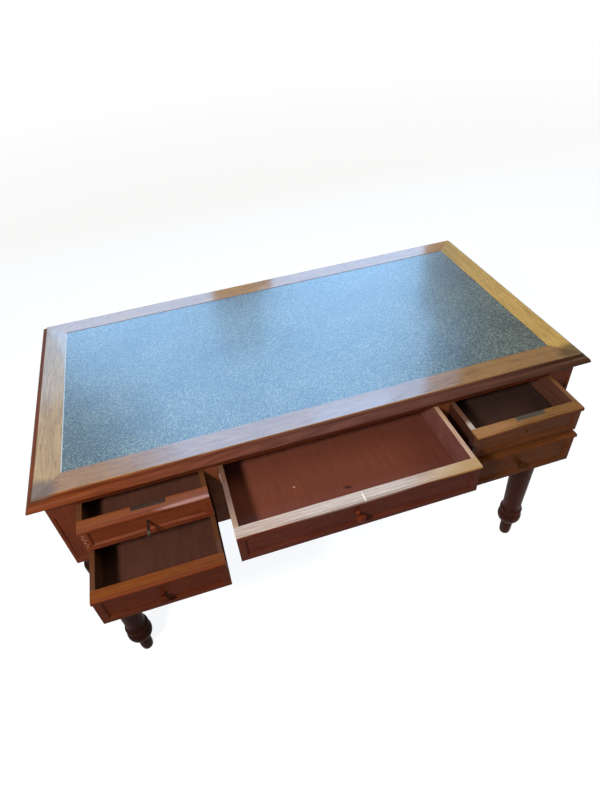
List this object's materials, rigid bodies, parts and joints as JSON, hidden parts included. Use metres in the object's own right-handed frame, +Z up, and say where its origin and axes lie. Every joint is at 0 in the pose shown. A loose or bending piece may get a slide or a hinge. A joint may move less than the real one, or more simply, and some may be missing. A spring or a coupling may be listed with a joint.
{
  "type": "writing table",
  "caption": "Oak writing table with a leathercloth top in a moulded frame, turned legs, drawers each side of and over a kneehole, knobs, locks and a key.",
  "frame": {"origin": "on the floor, under the middle of the table's overall box with its drawers open as stored", "axes": "+X along the front from left to right, +Y from the drawer fronts to the back, +Z up"},
  "size_m": [1.3, 0.883, 0.742],
  "materials": {
    "top_oak": "waxed, honey brown",
    "case_oak": "polished, red-brown",
    "front_oak": "polished, red-brown",
    "drawer_lining": "plain, red-brown",
    "inner_wood": "plain, unpolished",
    "turned_knob": "polished, red-brown",
    "leathercloth": "grained, dark green",
    "steel": "dull, worn"
  },
  "bodies": {
    "table": {"back_panels": "case_oak", "back_top_rail": "case_oak", "corner_post_back_left": "case_oak", "corner_post_back_right": "case_oak", "corner_post_front_left": "case_oak", "corner_post_front_right": "case_oak", "drawer_dividers": "case_oak", "drawer_kickers": "inner_wood", "drawer_runners": "inner_wood", "end_panel_left": "case_oak", "end_panel_right": "case_oak", "end_rails": "case_oak", "front_top_rail": "case_oak", "inner_stiles": "case_oak", "kneehole_rail": "case_oak", "leg_back_left": "case_oak", "leg_back_right": "case_oak", "leg_front_left": "case_oak", "leg_front_right": "case_oak", "partition_left": "inner_wood", "partition_right": "inner_wood", "pedestal_bottom_rails": "case_oak", "top_frame_back": "top_oak", "top_frame_front": "top_oak", "top_frame_left": "top_oak", "top_frame_right": "top_oak", "top_panel": "inner_wood", "writing_leather": "leathercloth"},
    "upper_left_drawer": {"upper_left_drawer_back": "drawer_lining", "upper_left_drawer_bottom": "drawer_lining", "upper_left_drawer_front": "front_oak", "upper_left_drawer_left_side": "drawer_lining", "upper_left_drawer_right_side": "drawer_lining", "upper_left_lock_case": "steel"},
    "lower_left_drawer": {"lower_left_drawer_back": "drawer_lining", "lower_left_drawer_bottom": "drawer_lining", "lower_left_drawer_front": "front_oak", "lower_left_drawer_left_side": "drawer_lining", "lower_left_drawer_right_side": "drawer_lining", "lower_left_knob": "turned_knob"},
    "centre_drawer": {"centre_drawer_back": "drawer_lining", "centre_drawer_bottom": "drawer_lining", "centre_drawer_front": "front_oak", "centre_drawer_left_side": "drawer_lining", "centre_drawer_right_side": "drawer_lining", "centre_knob": "turned_knob"},
    "upper_right_drawer": {"upper_right_drawer_back": "drawer_lining", "upper_right_drawer_bottom": "drawer_lining", "upper_right_drawer_front": "front_oak", "upper_right_drawer_left_side": "drawer_lining", "upper_right_drawer_right_side": "drawer_lining", "upper_right_lock": "steel"},
    "lower_right_drawer": {"lower_right_drawer_back": "drawer_lining", "lower_right_drawer_bottom": "drawer_lining", "lower_right_drawer_front": "front_oak", "lower_right_drawer_left_side": "drawer_lining", "lower_right_drawer_right_side": "drawer_lining", "lower_right_knob": "turned_knob"},
    "key": {"upper_left_key": "steel"},
    "lock_bolt": {"upper_left_lock_bolt": "steel"}
  },
  "joints": [
    {"name": "upper_left_slide", "type": "slide", "parent": "table", "child": "upper_left_drawer", "axis": [0, -1, 0], "range_m": [-0.068, 0.302]},
    {"name": "lower_left_slide", "type": "slide", "parent": "table", "child": "lower_left_drawer", "axis": [0, -1, 0], "range_m": [-0.182, 0.188]},
    {"name": "centre_slide", "type": "slide", "parent": "table", "child": "centre_drawer", "axis": [0, -1, 0], "range_m": [-0.192, 0.178]},
    {"name": "upper_right_slide", "type": "slide", "parent": "table", "child": "upper_right_drawer", "axis": [0, -1, 0], "range_m": [-0.118, 0.252]},
    {"name": "lower_right_slide", "type": "slide", "parent": "table", "child": "lower_right_drawer", "axis": [0, -1, 0], "range_m": [-0.124, 0.246]},
    {"name": "key_turn", "type": "hinge", "parent": "upper_left_drawer", "child": "key", "pos_m": [-0.428, -0.2995, 0.65716], "axis": [0, 1, 0], "range_deg": [0, 180]},
    {"name": "bolt_throw", "type": "slide", "parent": "upper_left_drawer", "child": "lock_bolt", "axis": [0, 0, 1], "range_m": [0, 0.007]}
  ],
  "couplings": [
    {"joint": "key_turn", "follows": "bolt_throw", "rad_per_m": 448}
  ]
}
